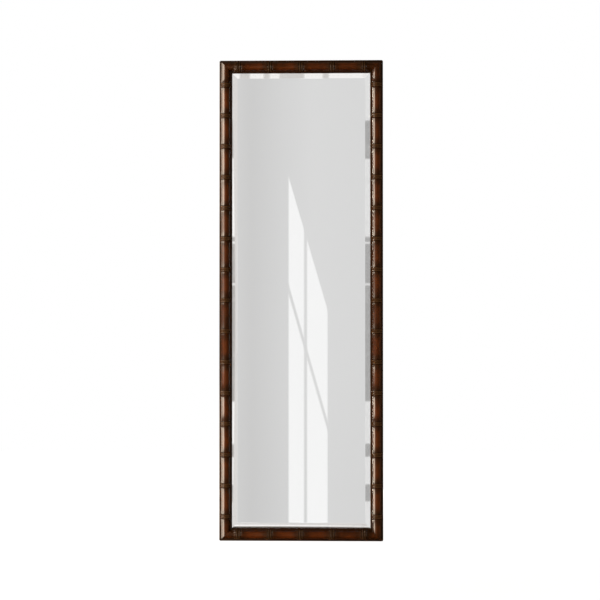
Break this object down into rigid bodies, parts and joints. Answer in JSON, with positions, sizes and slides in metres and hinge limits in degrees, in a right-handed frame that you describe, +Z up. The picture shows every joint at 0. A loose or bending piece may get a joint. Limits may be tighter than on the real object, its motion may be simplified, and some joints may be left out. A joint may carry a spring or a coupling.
{
  "type": "pier mirror",
  "caption": "Tall narrow wall mirror with a bevelled glass in a mitred mahogany frame of half-round faux-bamboo canes, hung by hinged D rings.",
  "frame": {"origin": "on the wall plane, midway between the two points that the turned-up hanger rings hang from", "axes": "+Z up along the height, +X to the right seen from the front, +Y towards the wall; the glass faces -Y"},
  "size_m": [0.61, 0.0423, 1.79],
  "materials": {
    "mahogany_moulding": "dark mahogany stain under gloss lacquer, darker glaze at edges",
    "mahogany_cane": "red-brown mahogany lacquer, burnished between nodes and glazed dark at them",
    "mirror_glass": "polished, bevelled",
    "silver": "silvered, grey paint behind",
    "hardboard": "brown hardboard, textured",
    "block_rubber": "matt",
    "bumper_rubber": "satin",
    "point_steel": "bright spring steel",
    "nail_steel": "blued steel",
    "hanger_brass": "brass-plated steel",
    "screw_brass": "brass-plated steel"
  },
  "bodies": {
    "frame": {"left_stile": "mahogany_moulding", "right_stile": "mahogany_moulding", "top_rail": "mahogany_moulding", "bottom_rail": "mahogany_moulding", "left_cane": "mahogany_cane", "right_cane": "mahogany_cane", "top_cane": "mahogany_cane", "bottom_cane": "mahogany_cane", "mirror_glass": "mirror_glass", "silvering": "silver", "backing_board": "hardboard", "setting_blocks": "block_rubber", "edge_spacers": "block_rubber", "left_points": "point_steel", "right_points": "point_steel", "top_points": "point_steel", "bottom_points": "point_steel", "top_left_v_nails": "nail_steel", "top_right_v_nails": "nail_steel", "bottom_left_v_nails": "nail_steel", "bottom_right_v_nails": "nail_steel", "left_hanger_strap": "hanger_brass", "right_hanger_strap": "hanger_brass", "left_hanger_screws": "screw_brass", "right_hanger_screws": "screw_brass", "upper_bumpers": "bumper_rubber", "lower_bumpers": "bumper_rubber"},
    "left_ring": {"left_hanger_ring": "hanger_brass"},
    "right_ring": {"right_hanger_ring": "hanger_brass"}
  },
  "joints": [
    {"name": "left_ring_hinge", "type": "hinge", "parent": "frame", "child": "left_ring", "pos_m": [-0.286, -0.0039, -0.0205], "axis": [1, 0, 0], "range_deg": [0, 180]},
    {"name": "right_ring_hinge", "type": "hinge", "parent": "frame", "child": "right_ring", "pos_m": [0.286, -0.0039, -0.0205], "axis": [1, 0, 0], "range_deg": [0, 180]}
  ]
}
